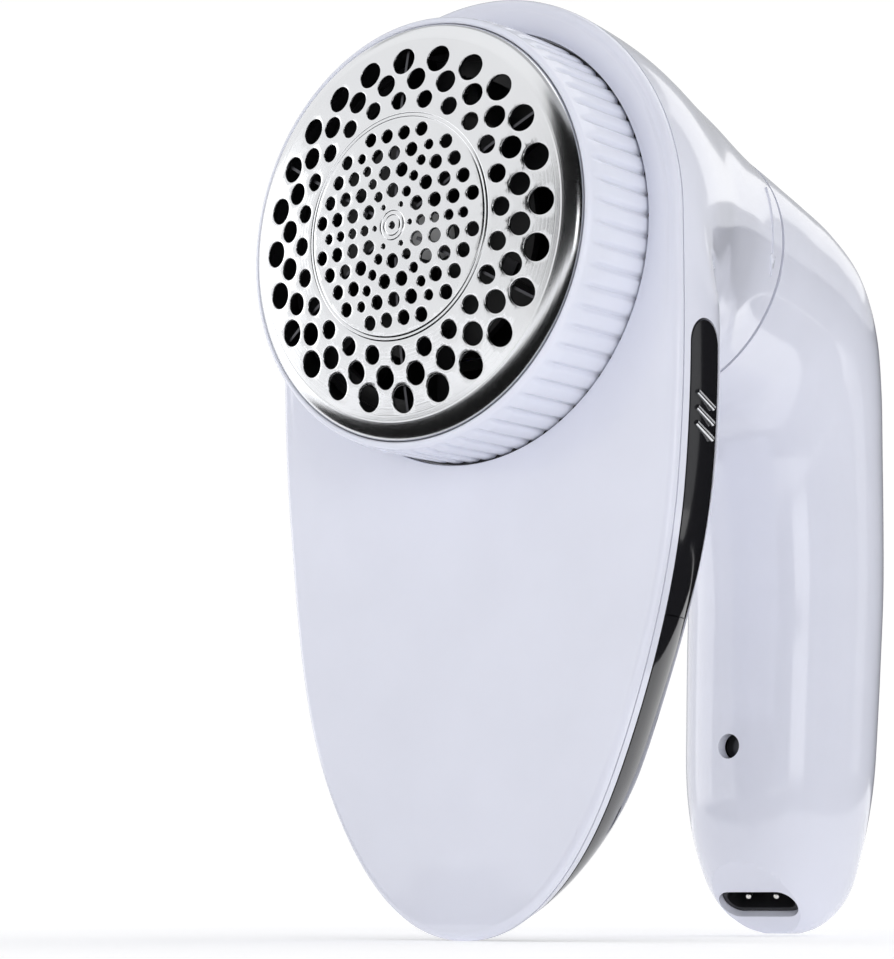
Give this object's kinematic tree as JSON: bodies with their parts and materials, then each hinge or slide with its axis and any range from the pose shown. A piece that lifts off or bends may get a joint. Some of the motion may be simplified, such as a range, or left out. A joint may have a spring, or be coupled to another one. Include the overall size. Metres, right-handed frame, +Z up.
{
  "type": "fabric shaver",
  "caption": "Hand-held fabric shaver: round perforated foil in a ribbed collar on a long rounded body, with a smoked lint bin and a bent handle that swivels.",
  "frame": {"origin": "middle of the bounding box on the ground the shaver stands on", "axes": "+X sideways, the cutting foil faces -Y and the handle is at +Y, +Z up"},
  "size_m": [0.0722, 0.1152, 0.1335],
  "materials": {
    "white_shell": "high gloss, injection moulded",
    "collar_white": "satin gloss, slightly milky",
    "smoked_plastic": "smoked, high gloss",
    "trim_metal": "polished",
    "soft_black": "matt",
    "black_plastic": "fine texture",
    "foil_steel": "polished, etched holes",
    "blade_steel": "ground edge",
    "white_inner": "plain moulded",
    "spring_steel": "drawn wire",
    "motor_steel": "zinc plated",
    "copper_winding": "enamelled winding",
    "contact_brass": "plain",
    "screw_steel": "zinc plated",
    "battery_wrap": "shrink sleeve",
    "contact_nickel": "nickel plated",
    "board_green": "solder mask",
    "chip_black": "moulded",
    "button_chrome": "polished",
    "lens_clear": "clear lens",
    "pin_metal": "plated"
  },
  "bodies": {
    "housing": {"front_shell": "white_shell", "rear_shell": "white_shell", "side_trims": "smoked_plastic", "bin_bars": "trim_metal", "bin_seal": "soft_black", "cutter_cup": "black_plastic", "cup_screws": "screw_steel", "motor_can": "motor_steel", "motor_cap": "black_plastic", "motor_tabs": "contact_brass", "motor_screws": "screw_steel", "safety_switch": "black_plastic"},
    "guard": {"collar": "collar_white", "foil_guard": "foil_steel", "guard_ring": "black_plastic"},
    "rotor": {"motor_shaft": "blade_steel", "motor_rotor": "copper_winding", "blade_spring": "spring_steel"},
    "cutter": {"blade_disc": "black_plastic", "leaf_blades": "blade_steel", "blade_hub": "white_inner"},
    "plunger": {"safety_pin": "white_inner"},
    "bin": {"lint_bin": "smoked_plastic"},
    "handle": {"handle_shell": "white_shell", "handle_cover": "white_shell", "cover_screws": "screw_steel", "battery_cell": "battery_wrap", "battery_cradle": "black_plastic", "battery_tabs": "contact_nickel", "circuit_board": "board_green", "board_parts": "chip_black", "status_lens": "lens_clear", "socket_body": "black_plastic", "socket_pins": "pin_metal", "swivel_axle": "motor_steel", "swivel_washer": "contact_brass", "swivel_clip": "spring_steel"},
    "button": {"power_button": "button_chrome"}
  },
  "joints": [
    {"name": "handle_swivel", "type": "hinge", "parent": "housing", "child": "handle", "pos_m": [0, 0.00831, 0.1025], "axis": [0, 0.9848, -0.1736], "range_deg": [0, 180]},
    {"name": "blade_spin", "type": "hinge", "parent": "housing", "child": "rotor", "pos_m": [0, -0.05518, 0.0974], "axis": [0, -1, 0], "continuous": true},
    {"name": "blade_float", "type": "slide", "parent": "rotor", "child": "cutter", "axis": [0, 1, 0], "range_m": [0, 0.001], "stiffness_N_per_m": 400, "springref_m": -0.002, "deforming": ["blade_spring"]},
    {"name": "guard_turn", "type": "hinge", "parent": "housing", "child": "guard", "pos_m": [0, -0.05518, 0.0974], "axis": [0, -1, 0], "range_deg": [0, 20]},
    {"name": "guard_switch", "type": "slide", "parent": "housing", "child": "plunger", "axis": [0, 1, 0], "range_m": [0, 0.0006], "stiffness_N_per_m": 300, "springref_m": -0.001},
    {"name": "bin_slide", "type": "slide", "parent": "housing", "child": "bin", "axis": [0, 0, -1], "range_m": [0, 0.042]},
    {"name": "power_press", "type": "slide", "parent": "handle", "child": "button", "axis": [0, -1, 0], "range_m": [0, 0.0007], "stiffness_N_per_m": 1500, "springref_m": -0.0005}
  ]
}
